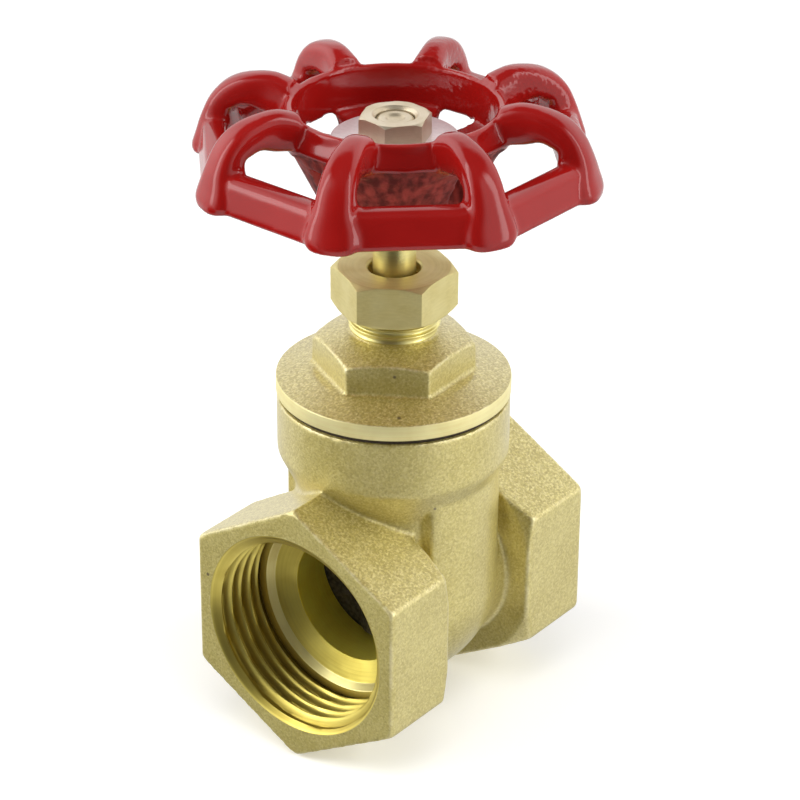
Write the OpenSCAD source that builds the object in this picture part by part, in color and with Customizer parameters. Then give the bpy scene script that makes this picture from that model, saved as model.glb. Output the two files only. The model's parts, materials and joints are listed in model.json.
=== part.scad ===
// Screwed gate valve, G1 ends, non-rising stem, wedge gate.
// Millimetres. Origin at the centre of the inlet end face, X along the flow,
// Z up along the stem.

/* [Ends] */
// Length from end face to end face
body_l = 51.4; // [49:0.2:60]
// Width across the flats of the end hexagons
hex_af = 39.5; // [39:0.1:44]
// Length of each end hexagon at the middle of its flats
hex_l = 15.1; // [13:0.1:16]
// Radius at the crests of the internal pipe thread
thread_r = 15.15; // [15:0.05:15.4]
// Length of each internal thread
thread_l = 11.6; // [10:0.1:12.4]
// Radius of the chamfer at each mouth
mouth_r = 17.3; // [16.6:0.1:18.4]
// Radius of the bore through the seats
seat_r = 10.7; // [9:0.1:11]
// Depth from the end face to the seat bore
shoulder_depth = 14.1; // [13:0.1:16]

/* [Body] */
// Radius of the barrel between hexagon and well
barrel_r = 15.4; // [14.5:0.1:17]
// Wall outside the gate chamber at the well's rounded sides
well_wall = 3.4; // [2.6:0.1:4.2]
// Width of the well along the flow
well_w = 18; // [17:0.1:21]
// Wall of the collar outside the bonnet's skirt
collar_wall = 3; // [2:0.1:4]
// Height of the collar's machined top above the flow axis
collar_z = 33.5; // [32:0.1:36]
// Height of the collar's straight side
collar_h = 9.4; // [7:0.1:11]
// Wall outside the gate chamber at the round neck below the collar
round_wall = 1.9; // [1.6:0.1:3]
// Height of the taper from collar to round neck
collar_taper = 5.9; // [3:0.1:7]
// Width of the gate chamber along the flow
chamber_w = 12.8; // [12.4:0.1:14]
// Gap around the gate in its chamber
chamber_gap = 1.4; // [1.2:0.1:1.8]

/* [Bonnet] */
// Thickness of the gasket under the bonnet
gasket_t = 1; // [0.5:0.1:1.5]
// How far the bonnet flange stands out past the collar
flange_lip = 0.1; // [0:0.1:1]
// Thickness of the bonnet flange at its rim
flange_t = 2.3; // [1.5:0.1:4]
// Width across the flats of the bonnet hexagon
bonnet_af = 22.7; // [20:0.1:26]
// Height from flange rim to the hexagon's top edge
bonnet_hex_h = 6.1; // [5:0.1:9]
// Wall of the bonnet's screwed skirt
skirt_wall = 2; // [1.6:0.1:2.6]
// Length of the screwed skirt below the gasket
skirt_l = 7; // [4:0.1:8]
// Radius of the packing neck
neck_r = 7.4; // [7:0.1:8]
// Height of the neck's top above the hexagon's top edge
neck_h = 9.5; // [8:0.1:12]

/* [Packing] */
// Width across the flats of the packing nut
nut_af = 17.4; // [17:0.1:20]
// Height of the packing nut
nut_h = 6.9; // [6:0.1:9]
// Height from bonnet hexagon to the packing nut
nut_gap = 5.6; // [4.4:0.1:7]
// Radius of the clearance hole in the packing nut
nut_hole_r = 4.15; // [3.8:0.05:4.6]
// Thickness of the packing nut's top
nut_top_t = 2.2; // [1.5:0.1:3]
// Radius of the packing chamber
packing_r = 5.6; // [5.2:0.1:5.9]
// Number of packing rings
packing_count = 3; // [1:1:4]
// Height of one packing ring
packing_t = 2; // [1.5:0.1:2.4]

/* [Stem] */
// Radius of the stem where it passes the packing
stem_r = 3.4; // [3:0.05:3.6]
// Radius of the stem's screw
screw_r = 3.8; // [3.5:0.1:4]
// Length of screw held by the gate when it is shut
screw_grip = 4.6; // [4:0.1:5]
// Radius of the thrust collar
thrust_r = 5.6; // [5:0.1:6]
// Thickness of the thrust collar
thrust_t = 1.6; // [1:0.1:2.2]
// Width across the flats of the square under the handwheel
square_af = 4.8; // [4.2:0.1:4.9]
// Radius of the thread that takes the wheel nut
tip_r = 3; // [2.5:0.1:3.2]

/* [Gate] */
// Radius of the gate
gate_r = 12.4; // [12:0.1:12.6]
// Thickness of the gate on the flow axis
gate_t = 9; // [8:0.1:9.4]
// Slope of each gate face
gate_angle = 5; // [3:0.5:6]
// Height of the gate's boss above the flow axis
gate_boss_z = 17.2; // [16.8:0.1:17.6]
// Radius of the gate's boss
gate_boss_r = 5.2; // [4.8:0.1:5.3]
// Travel of the gate from shut to open
gate_lift = 21.5; // [18:0.5:22]

/* [Handwheel] */
// Height of the wheel's underside above the packing nut
wheel_gap = 10.8; // [6:0.1:16]
// Height of the hub
hub_h = 10.2; // [8:0.1:14]
// Radius of the hub's top
hub_r = 10.2; // [8:0.1:11]
// Radius from the axis to the flat side of the rim
rim_r = 29.9; // [26:0.1:34]
// Height of the rim bar
rim_h = 5.9; // [4:0.1:8]
// Radial width of the rim bar
rim_w = 5.1; // [3:0.1:6]
// Height of the rim's underside above the hub's underside
rim_drop = 5.2; // [3:0.1:8]
// Number of fingers
finger_count = 8; // [6:1:10]
// Width of a finger's foot
finger_w = 8.9; // [7:0.1:11]
// Thickness of a finger at its crown
finger_t = 5; // [4:0.1:8]
// Height of the fingers' crown above the rim's underside
crown_h = 13.3; // [12:0.1:18]
// Inner radius of the ring that the fingers land on
ring_r = 15.6; // [13.5:0.1:17]
// Number of spokes
spoke_count = 4; // [3:1:4]
// Angle that one spoke spans
spoke_angle = 64; // [30:1:70]
// Turn of the wheel at rest
wheel_turn = 20; // [0:0.1:45]
// Radius of the plate under the wheel nut
plate_r = 9.9; // [6:0.1:10]
// Thickness of the plate under the wheel nut
plate_t = 0.6; // [0.4:0.1:1.2]
// Width across the flats of the wheel nut
wheel_nut_af = 10; // [9:0.1:12]
// Height of the wheel nut
wheel_nut_h = 3.7; // [3:0.1:6]

/* [Fits] */
// Gap at screwed and seated joints that stay still
seat_fit = 0.05; // [0.02:0.01:0.1]
// Radial gap where one piece turns or slides in another
run_fit = 0.06; // [0.03:0.01:0.1]
// Gap between the shut gate and its seats
gate_fit = 0.1; // [0.05:0.05:0.3]

/* [Hidden] */
$fn = 96;
cut = 0.5;                // how far a cutter runs past the surface it opens

stem_x = body_l / 2;
hex_corner = hex_af / 2 / cos(30);
well_taper_z = collar_z - collar_h;
lug_reach = gate_r + 0.5;
skirt_bore = lug_reach + 0.7;
skirt_r = skirt_bore + skirt_wall;
collar_r = skirt_r + collar_wall;
flange_r = collar_r + flange_lip;
chamber_r = gate_r + chamber_gap;
well_r = chamber_r + well_wall;
round_r = chamber_r + round_wall;
chamber_side = chamber_r - 0.1;   // the straight walls start just inside the round bottom

// Gate
screw_end_z = gate_boss_z - screw_grip;
gate_hole_z = screw_end_z - gate_lift - 0.3;
gate_boss_low = gate_hole_z - 0.7;
guide_w = 2.2;
guide_face = gate_r - 0.3;
lug_w = 6.4;
lug_low = -3.5;
lug_h = 12.5;

// Bonnet, from the gasket up
flange_z = collar_z + gasket_t;
flange_top = flange_z + flange_t;
hex_top = flange_top + bonnet_hex_h;
neck_top = hex_top + neck_h;
skirt_low = collar_z - skirt_l;
bonnet_corner = bonnet_af / 2 / cos(30);
dome_z = flange_z + 0.6;
ring_low = gate_boss_z + gate_lift + 0.5;
ring_t = 1.2;
recess_r = thrust_r + 1.6;
thrust_z = ring_low + ring_t + run_fit;
thrust_top = thrust_z + thrust_t;
packing_z = thrust_top + run_fit + 1.5;
bonnet_turn = 2.6;

// Packing nut and gland
nut_z = hex_top + nut_gap;
nut_top = nut_z + nut_h;
nut_roof = nut_top - nut_top_t;
follower_z = packing_z + packing_count * packing_t;

// Handwheel, from its underside up
wheel_z = nut_top + wheel_gap;
hub_top = wheel_z + hub_h;
rim_z = wheel_z + rim_drop;
crown_z = rim_z + crown_h;
land_top = rim_z + 0.857 * crown_h;
land_low = rim_z + 0.353 * crown_h;
plate_z = hub_top + seat_fit;
wheel_nut_z = plate_z + plate_t;
wheel_nut_top = wheel_nut_z + wheel_nut_h;
tip_z = wheel_nut_top - 0.5;

// Rod along X from x0 to x1
module rod_x(r, x0, x1, r1 = -1) {
    translate([x0, 0, 0]) rotate([0, 90, 0])
        cylinder(r1 = r, r2 = r1 < 0 ? r : r1, h = x1 - x0);
}

// Hexagonal end with its corners turned at the mouth and at the shoulder
module end_hex() {
    turned_r = hex_corner - 0.35;
    intersection() {
        rotate([0, 90, 0]) cylinder(r = hex_corner, h = hex_l, $fn = 6);
        rotate([0, 90, 0]) rotate_extrude()
            polygon([[0, 0], [turned_r, 0], [hex_corner, 0.5], [hex_corner, hex_l - 1.2],
                     [hex_af / 2 + 0.4, hex_l], [0, hex_l]]);
    }
}

// Everything that stands on the stem axis between the two hexagons: a slab with round
// sides for the gate, and the round neck that flares into the collar
module well() {
    arc = [for (a = [0 : 9 : 81]) [well_r * cos(a), -well_r * sin(a)]];
    intersection() {
        rotate_extrude()
            polygon(concat([[0, collar_z - 1], [well_r, collar_z - 1]], arc, [[0, -well_r]]));
        translate([-well_w / 2, -well_r - 1, -well_r - 1])
            cube([well_w, 2 * well_r + 2, collar_z + well_r]);
    }
    rotate_extrude()
        polygon([[0, collar_z], [collar_r, collar_z], [collar_r, well_taper_z],
                 [round_r, well_taper_z - collar_taper], [round_r, 0], [0, 0]]);
}

// Space between the seats: follows the gate's slope, with a gap on each face
module gate_slot(gap) {
    t = gate_t / 2 + gap / cos(gate_angle);
    s = tan(gate_angle);
    h = gate_r + 2;
    rotate([90, 0, 0]) linear_extrude(height = 2 * h, center = true)
        polygon([[-t + h * s, -h], [t - h * s, -h], [t + h * s, h], [-t - h * s, h]]);
}

// Hollow that the gate moves in, less the seats and the guide rails
module chamber() {
    difference() {
        union() {
            rod_x(chamber_r, -chamber_w / 2, chamber_w / 2);
            translate([-chamber_w / 2, -chamber_side, 0])
                cube([chamber_w, 2 * chamber_side, skirt_low]);
        }
        difference() {
            rod_x(gate_r + 0.4, -chamber_w / 2 - cut, chamber_w / 2 + cut);
            gate_slot(gate_fit);
        }
        for (side = [-1, 1])
            translate([-guide_w / 2, side * (guide_face + 2) - 2, -gate_r / 2])
                cube([guide_w, 4, skirt_low + gate_r / 2 - 1]);
    }
    translate([0, 0, skirt_low - cut]) cylinder(r = skirt_r + seat_fit, h = skirt_l + 2 * cut);
}

// Waterway of one end, from the mouth to the seat
module end_bore() {
    chamfer = mouth_r - thread_r;
    rod_x(thread_r, -cut, thread_l + 0.8);
    rod_x(mouth_r + cut, -cut, chamfer, thread_r - cut);
    rod_x(thread_r, thread_l + 0.8, shoulder_depth, seat_r);
    rod_x(seat_r, thread_l, stem_x);
}

module body() {
    color("darkkhaki") difference() {
        union() {
            end_hex();
            translate([body_l, 0, 0]) mirror([1, 0, 0]) end_hex();
            rod_x(barrel_r, hex_l / 2, body_l - hex_l / 2);
            translate([stem_x, 0, 0]) well();
        }
        end_bore();
        translate([body_l, 0, 0]) mirror([1, 0, 0]) end_bore();
        translate([stem_x, 0, 0]) chamber();
    }
}

module bonnet_gasket() {
    color("dimgray") translate([stem_x, 0, collar_z]) difference() {
        cylinder(r = collar_r - 0.6, h = gasket_t);
        translate([0, 0, -cut]) cylinder(r = skirt_r + seat_fit, h = gasket_t + 2 * cut);
    }
}

// Hexagon with a turned chamfer at each end
module chamfered_hex(af, h, low, high) {
    corner = af / 2 / cos(30);
    bite = corner - af / 2;
    intersection() {
        cylinder(r = corner, h = h, $fn = 6);
        rotate_extrude()
            polygon([[0, 0], [corner - low * bite, 0], [corner, low * bite * 0.6],
                     [corner, h - high * bite * 0.6], [corner - high * bite, h], [0, h]]);
    }
}

module bonnet() {
    slope_r = bonnet_corner + 0.2;
    color("khaki") translate([stem_x, 0, 0]) difference() {
        union() {
            translate([0, 0, skirt_low]) cylinder(r = skirt_r, h = flange_z - skirt_low + cut);
            rotate_extrude()
                polygon([[0, flange_z], [flange_r, flange_z], [flange_r, flange_top],
                         [slope_r, flange_top + 1.4], [0, flange_top + 1.4]]);
            rotate([0, 0, bonnet_turn]) intersection() {
                translate([0, 0, flange_z + 1])
                    cylinder(r = bonnet_corner, h = hex_top + 2 - flange_z - 1, $fn = 6);
                rotate_extrude()
                    polygon([[0, flange_z], [bonnet_corner, flange_z],
                             [bonnet_corner, hex_top - 0.6], [bonnet_corner - 0.7, hex_top],
                             [neck_r + 0.4, hex_top + 1.6], [0, hex_top + 1.6]]);
            }
            translate([0, 0, hex_top]) cylinder(r = neck_r, h = neck_h);
        }
        translate([0, 0, skirt_low - cut]) cylinder(r = skirt_bore, h = dome_z - skirt_low + cut);
        translate([0, 0, dome_z]) cylinder(r1 = skirt_bore, r2 = recess_r, h = ring_low - dome_z);
        translate([0, 0, ring_low]) cylinder(r = recess_r, h = thrust_top + run_fit - ring_low);
        cylinder(r = stem_r + run_fit, h = neck_top);
        translate([0, 0, packing_z]) cylinder(r = packing_r, h = neck_top - packing_z + cut);
    }
}

module stem_ring() {
    color("goldenrod") translate([stem_x, 0, ring_low]) difference() {
        cylinder(r = recess_r - seat_fit, h = ring_t);
        translate([0, 0, -cut]) cylinder(r = screw_r + run_fit + 0.3, h = ring_t + 2 * cut);
    }
}

module packing_rings() {
    color("whitesmoke") translate([stem_x, 0, 0])
        for (i = [0 : packing_count - 1])
            translate([0, 0, packing_z + i * packing_t]) difference() {
                cylinder(r = packing_r - seat_fit, h = packing_t - seat_fit);
                translate([0, 0, -cut]) cylinder(r = stem_r + run_fit, h = packing_t + 2 * cut);
            }
}

module gland_follower() {
    color("goldenrod") translate([stem_x, 0, 0]) difference() {
        union() {
            translate([0, 0, follower_z])
                cylinder(r = packing_r - seat_fit, h = nut_roof - seat_fit - follower_z);
            translate([0, 0, neck_top + seat_fit])
                cylinder(r = neck_r - 0.4, h = nut_roof - neck_top - 2 * seat_fit);
        }
        translate([0, 0, follower_z - cut])
            cylinder(r = stem_r + run_fit, h = nut_roof - follower_z + 2 * cut);
    }
}

module packing_nut() {
    color("khaki") translate([stem_x, 0, nut_z]) difference() {
        rotate([0, 0, bonnet_turn]) chamfered_hex(nut_af, nut_h, 0.9, 0.9);
        translate([0, 0, -cut]) cylinder(r = neck_r + seat_fit, h = nut_roof - nut_z + cut);
        cylinder(r = nut_hole_r, h = nut_h + cut);
    }
}

module gate() {
    color("gray") translate([stem_x, 0, 0]) difference() {
        union() {
            intersection() {
                rod_x(gate_r, -gate_r, gate_r);
                gate_slot(0);
            }
            translate([0, 0, gate_boss_low]) cylinder(r = gate_boss_r, h = gate_boss_z - gate_boss_low);
            for (side = [-1, 1])
                translate([-lug_w / 2, side > 0 ? gate_r - 3 : -lug_reach, lug_low])
                    cube([lug_w, lug_reach - gate_r + 3, lug_h]);
        }
        translate([0, 0, gate_hole_z]) cylinder(r = screw_r + run_fit, h = gate_boss_z - gate_hole_z + cut);
        for (side = [-1, 1])
            translate([-guide_w / 2 - 0.2, side * (guide_face - 0.2 + 2) - 2, -gate_r])
                cube([guide_w + 0.4, 4, 2 * gate_r]);
    }
}

module stem() {
    color("gold") translate([stem_x, 0, 0]) {
        rotate_extrude()
            polygon([[0, screw_end_z], [screw_r - 0.5, screw_end_z], [screw_r, screw_end_z + 0.5],
                     [screw_r, thrust_z], [thrust_r, thrust_z], [thrust_r, thrust_top],
                     [stem_r, thrust_top], [stem_r, wheel_z], [0, wheel_z]]);
        translate([-square_af / 2, -square_af / 2, wheel_z - cut])
            cube([square_af, square_af, hub_top - wheel_z + cut]);
        translate([0, 0, hub_top - cut]) cylinder(r = square_af / 2 - 0.2, h = 2 * cut);
        translate([0, 0, hub_top]) cylinder(r = tip_r, h = tip_z - hub_top);
    }
}

// ---- Handwheel ----

// Stations of a finger from its foot over the crown to the ring: share of the way from
// ring to rim, share of the crown's height, share of finger_t, share of finger_w
STATIONS = [
    [0.958, 0, 1.08, 0.84],
    [0.955, 0.08, 1.34, 1],
    [0.928, 0.237, 1.22, 0.9],
    [0.908, 0.423, 1.02, 0.72],
    [0.855, 0.620, 0.86, 0.64],
    [0.732, 0.727, 0.94, 0.6],
    [0.567, 0.805, 1, 0.54],
    [0.334, 0.814, 1.2, 0.52],
    [0.09, 0.70, 1.08, 0.7]];

function unit(v) = v / norm(v);

// Superellipse section, half sizes a and b
function lobe(a, b, n = 16, p = 0.72) =
    [for (i = [0 : n - 1]) let (t = 360 * (i + 0.5) / n)
        [a * sign(cos(t)) * pow(abs(cos(t)), p), b * sign(sin(t)) * pow(abs(sin(t)), p)]];

// One finger: the section swept through its stations
module finger() {
    path = [for (s = STATIONS) [ring_r + s[0] * (rim_r - ring_r), rim_z + s[1] * crown_h]];
    last = len(path) - 1;
    n = 16;
    points = [for (i = [0 : last])
        let (d = unit(path[min(i + 1, last)] - path[max(i - 1, 0)]),
             out = [d[1], -d[0]])
        for (q = lobe(finger_w / 2 * STATIONS[i][3], finger_t / 2 * STATIONS[i][2], n))
            [path[i][0] + out[0] * q[1], q[0], path[i][1] + out[1] * q[1]]];
    sides = [for (i = [0 : last - 1]) for (j = [0 : n - 1])
        [i * n + j, i * n + (j + 1) % n, (i + 1) * n + (j + 1) % n, (i + 1) * n + j]];
    caps = [[for (j = [n - 1 : -1 : 0]) j], [for (j = [0 : n - 1]) last * n + j]];
    polyhedron(points = points, faces = concat(sides, caps), convexity = 4);
}

// Rim bar: straight between fingers, so its plan has as many corners as fingers
module rim() {
    grow = 1 / cos(180 / finger_count);
    rotate_extrude($fn = finger_count)
        polygon([for (p = [[-0.5, 0], [0, 0.6], [-0.9, rim_h - 0.7], [-1.7, rim_h],
                           [1 - rim_w, rim_h], [0.4 - rim_w, rim_h - 0.8], [-rim_w, 0.8],
                           [0.7 - rim_w, 0]])
            [(rim_r + p[0]) * grow, rim_z + p[1]]]);
}

// Ring that the fingers land on, with a sloping outer face
module landing_ring() {
    rotate_extrude()
        polygon([[ring_r - 0.2, land_low], [ring_r, land_top - 0.5], [ring_r + 0.5, land_top],
                 [ring_r + 1.1, land_top - 0.1], [ring_r + 4.4, land_top - 3.4],
                 [ring_r + 4, land_top - 4.6], [ring_r + 3, land_low + 1.4],
                 [ring_r + 1.6, land_low]]);
}

// Hub and the conical web below the ring, opened into spokes
module hub_and_spokes() {
    web_top = land_low + 0.3;
    web_low = hub_top - 1.2;
    difference() {
        rotate_extrude()
            polygon([[0, wheel_z + 0.6], [hub_r, wheel_z + 0.6], [hub_r + 2, wheel_z + 1.2],
                     [ring_r + 3.1, land_low + 1.6], [ring_r - 0.3, web_top], [hub_r - 0.5, web_low],
                     [0, web_low]]);
        for (i = [0 : spoke_count - 1])
            rotate([0, 0, (i + 0.5) * 360 / spoke_count - (360 / spoke_count - spoke_angle) / 2])
                translate([0, 0, wheel_z - 1])
                    rotate_extrude(angle = 360 / spoke_count - spoke_angle)
                        translate([hub_r + 0.2, 0]) square([20, hub_h + 6]);
    }
    translate([0, 0, wheel_z]) cylinder(r = hub_r - 2, h = hub_h);
    translate([0, 0, hub_top - 1]) cylinder(r = hub_r, h = 1);
}

module handwheel() {
    color("firebrick") translate([stem_x, 0, 0]) rotate([0, 0, wheel_turn]) difference() {
        union() {
            for (i = [0 : finger_count - 1]) rotate([0, 0, i * 360 / finger_count]) finger();
            rim();
            landing_ring();
            rotate([0, 0, 180 / finger_count]) hub_and_spokes();
        }
        rotate([0, 0, -wheel_turn]) translate([0, 0, wheel_z - cut])
            linear_extrude(height = hub_h + 2 * cut)
                square(square_af + 2 * seat_fit, center = true);
    }
}

module wheel_plate() {
    color("silver") translate([stem_x, 0, plate_z]) difference() {
        cylinder(r = plate_r, h = plate_t);
        translate([0, 0, -cut]) cylinder(r = tip_r + seat_fit, h = plate_t + 2 * cut);
    }
}

module wheel_nut() {
    color("palegoldenrod") translate([stem_x, 0, wheel_nut_z]) difference() {
        rotate([0, 0, 22]) chamfered_hex(wheel_nut_af, wheel_nut_h, 0.3, 0.8);
        translate([0, 0, -cut]) cylinder(r = tip_r + seat_fit, h = wheel_nut_h + 2 * cut);
    }
}

body();
bonnet_gasket();
bonnet();
stem_ring();
packing_rings();
gland_follower();
packing_nut();
gate();
stem();
handwheel();
wheel_plate();
wheel_nut();
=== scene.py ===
# %% [markdown]
# # A brass gate valve with a red cast handwheel
# The lesson dresses a bare frame of solids, which stays where it is.
# Big castings are rebuilt as soft skins, turned faces as lathed rings, and screw
# threads by a rule in Geometry Nodes. Each finish is a node material.

# %% Load the frame
import json
import math

import bpy
import numpy as np
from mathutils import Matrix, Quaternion, Vector

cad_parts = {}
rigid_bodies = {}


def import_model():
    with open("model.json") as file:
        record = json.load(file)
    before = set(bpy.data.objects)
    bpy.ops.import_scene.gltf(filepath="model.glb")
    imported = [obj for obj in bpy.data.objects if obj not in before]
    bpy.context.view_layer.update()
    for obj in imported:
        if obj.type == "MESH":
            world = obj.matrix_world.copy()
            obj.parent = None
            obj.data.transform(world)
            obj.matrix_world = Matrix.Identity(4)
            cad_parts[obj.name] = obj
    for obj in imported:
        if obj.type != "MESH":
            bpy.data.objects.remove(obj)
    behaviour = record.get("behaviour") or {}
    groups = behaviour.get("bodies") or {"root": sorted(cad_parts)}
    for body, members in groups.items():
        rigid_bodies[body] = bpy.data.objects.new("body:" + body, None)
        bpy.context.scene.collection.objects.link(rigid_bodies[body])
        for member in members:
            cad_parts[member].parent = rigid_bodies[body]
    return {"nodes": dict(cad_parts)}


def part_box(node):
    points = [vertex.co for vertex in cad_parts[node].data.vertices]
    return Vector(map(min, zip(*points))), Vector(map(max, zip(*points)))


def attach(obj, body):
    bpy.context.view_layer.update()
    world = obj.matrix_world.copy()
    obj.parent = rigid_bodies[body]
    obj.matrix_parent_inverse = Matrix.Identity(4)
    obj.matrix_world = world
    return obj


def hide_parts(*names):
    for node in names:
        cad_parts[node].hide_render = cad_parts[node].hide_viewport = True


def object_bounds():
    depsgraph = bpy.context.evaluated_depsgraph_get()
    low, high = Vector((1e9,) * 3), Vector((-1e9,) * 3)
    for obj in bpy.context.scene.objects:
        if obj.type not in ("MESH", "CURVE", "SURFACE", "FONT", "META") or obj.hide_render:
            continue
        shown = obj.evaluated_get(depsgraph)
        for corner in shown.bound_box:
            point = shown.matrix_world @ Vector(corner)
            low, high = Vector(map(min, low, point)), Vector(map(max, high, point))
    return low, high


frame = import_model()
CAD_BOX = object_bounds()
MM = 0.001
STEM_X = 25.7                          # the stem's axis, halfway along the flow, in mm
print("CAD box, mm:", [[round(c / MM, 1) for c in corner] for corner in CAD_BOX])

# %% [markdown]
# ## Camera
# A long lens from about half a metre keeps the two end hexagons nearly parallel. The
# camera comes first, so every later piece can be judged through it.

# %% Camera
AZIMUTH, ELEVATION, ROLL = math.radians(-52.456), math.radians(28.681), math.radians(0.357)
TARGET = Vector((STEM_X, 0, 22)) * MM
DISTANCE = 496.4 * MM


def toward(azimuth, elevation):
    """Unit vector from the valve to where someone stands: azimuth 0 is in front, along -Y."""
    return Vector((math.sin(azimuth) * math.cos(elevation),
                   -math.cos(azimuth) * math.cos(elevation), math.sin(elevation)))


def placed(name, data):
    """New object for some data, linked to the scene."""
    made = bpy.data.objects.new(name, data)
    bpy.context.scene.collection.objects.link(made)
    return made


lens = bpy.data.cameras.new("camera")
lens.lens, lens.sensor_width = 138.85, 36
lens.shift_x, lens.shift_y = 0.0085, 0.067
lens.clip_start, lens.clip_end = 0.01, 20
camera = placed("camera", lens)
back = toward(AZIMUTH, ELEVATION)
camera.rotation_mode = "QUATERNION"
camera.location = TARGET + back * DISTANCE
camera.rotation_quaternion = (-back).to_track_quat("-Z", "Y")
camera.rotation_quaternion.rotate(Quaternion(back, ROLL))
bpy.context.scene.camera = camera
print("camera at", [round(c, 3) for c in camera.location])

# %% [markdown]
# ## Room
# A light tent: white all round, with large soft lamps at both sides and a dark gap
# where the person with the camera stands. Polished metal needs that dark gap, because
# it has no colour of its own and only shows what stands round it.

# %% Helpers for node trees
def feed(tree, node, inputs):
    """Fills a node's inputs. Each may be a number, a colour or another node's socket."""
    for key, value in inputs.items():
        if isinstance(value, bpy.types.NodeSocket):
            tree.links.new(value, node.inputs[key])
        else:
            node.inputs[key].default_value = value


def add(tree, kind, inputs=None, **settings):
    """New node with its settings and inputs."""
    node = tree.nodes.new(kind)
    for key, value in settings.items():
        setattr(node, key, value)
    feed(tree, node, inputs or {})
    return node


def calc(tree, operation, *values, clamp=False):
    """Math node's result socket."""
    return add(tree, "ShaderNodeMath", dict(enumerate(values)), operation=operation,
               use_clamp=clamp).outputs[0]


def vector_calc(tree, operation, *values, result=0):
    return add(tree, "ShaderNodeVectorMath", dict(enumerate(values)),
               operation=operation).outputs[result]


def xyz(tree, vector):
    return add(tree, "ShaderNodeSeparateXYZ", {0: vector}).outputs


def ramp(tree, value, low, high):
    """0 at low and 1 at high, with soft ends."""
    return add(tree, "ShaderNodeMapRange", {"Value": value, "From Min": low, "From Max": high},
               interpolation_type="SMOOTHSTEP").outputs["Result"]


def lerp(tree, factor, first, second):
    return add(tree, "ShaderNodeMix", {"Factor": factor, "A": first, "B": second}).outputs[0]


# %% World
GAP = Vector((-0.887, -0.462, 0))      # the way out of the tent, a little left of the camera
RIGHT = Vector((0.609, -0.793, 0))     # the right-hand wall, as the camera sees it
STRIP = Vector((0.27, -0.963, 0))      # a tall narrow lamp against that wall
LEFT_STRIP = Vector((-0.737, 0.676, 0))
CASE = Vector((-0.62, 0.47, -0.63))    # the dark foot of the left lamp


def tent(tree):
    """What polished metal sees: bright walls, a panel on the left, a strip lamp at each side,
    a dark gap in front, a dark roof, the white table, and a dark case low on the left."""
    direction = add(tree, "ShaderNodeTexCoord").outputs["Generated"]
    high = xyz(tree, direction)[2]
    flat = vector_calc(tree, "NORMALIZE", vector_calc(tree, "MULTIPLY", direction, (1, 1, 0)))

    def faces(way, vector=flat):
        return vector_calc(tree, "DOT_PRODUCT", vector, way, result="Value")

    to_gap, to_right = faces(GAP), faces(RIGHT)
    panel = calc(tree, "MULTIPLY", ramp(tree, to_right, -0.5, -0.9),
                 ramp(tree, high, -0.25, 0.2))
    behind = calc(tree, "MULTIPLY", ramp(tree, to_gap, 0.1, -0.6),
                  ramp(tree, high, 0.0, 0.35))
    wall = calc(tree, "MULTIPLY_ADD", panel, 0.8,
                calc(tree, "MULTIPLY_ADD", behind, 0.35, 0.95))
    for way, low, bright in ((STRIP, -0.3, 2.8), (LEFT_STRIP, -0.1, 2.8)):
        strip = calc(tree, "MULTIPLY", ramp(tree, faces(way), 0.982, 0.996),
                     ramp(tree, high, low, low + 0.2))
        wall = calc(tree, "MULTIPLY_ADD", strip, bright, wall)
    wall = lerp(tree, ramp(tree, to_gap, 0.6, 0.97), wall, 0.03)
    wall = lerp(tree, ramp(tree, high, 0.70, 0.88), wall, 0.10)
    table = calc(tree, "MULTIPLY_ADD", calc(tree, "MAXIMUM", to_gap, 0), 0.5, 0.5)
    level = lerp(tree, ramp(tree, high, -0.42, -0.62), wall, table)
    return lerp(tree, ramp(tree, faces(CASE, direction), 0.85, 0.98), level, 0.0)


world = bpy.data.worlds.new("tent")
bpy.context.scene.world = world
world.use_nodes = True
tree = world.node_tree
tree.nodes.clear()
path = add(tree, "ShaderNodeLightPath")
mirrored = calc(tree, "MAXIMUM", path.outputs["Is Glossy Ray"],
                path.outputs["Is Transmission Ray"])
level = lerp(tree, mirrored, 0.3, tent(tree))
level = lerp(tree, path.outputs["Is Camera Ray"], level, 1.0)
background = add(tree, "ShaderNodeBackground", {"Color": (1, 1, 1, 1), "Strength": level})
add(tree, "ShaderNodeOutputWorld", {"Surface": background.outputs[0]})


# %% Lamps
def softbox(name, azimuth, elevation, distance, size, watts):
    """Square area lamp that faces the middle of the valve."""
    lamp = bpy.data.lights.new(name, "AREA")
    lamp.shape, lamp.size, lamp.size_y, lamp.energy = "RECTANGLE", size[0], size[1], watts
    holder = placed(name, lamp)
    way = toward(math.radians(azimuth), math.radians(elevation))
    holder.location = Vector((STEM_X, 0, 35)) * MM + way * distance
    holder.rotation_mode = "QUATERNION"
    holder.rotation_quaternion = way.to_track_quat("Z", "Y")
    holder.visible_glossy = False      # polished metal sees the tent's walls instead


softbox("softbox_right", 38, 24, 0.7, (0.45, 0.45), 4.2)
softbox("softbox_left", -138, 22, 0.7, (0.45, 0.45), 4.4)
softbox("softbox_top", -57, 64, 0.7, (0.5, 0.5), 2.1)

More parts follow.
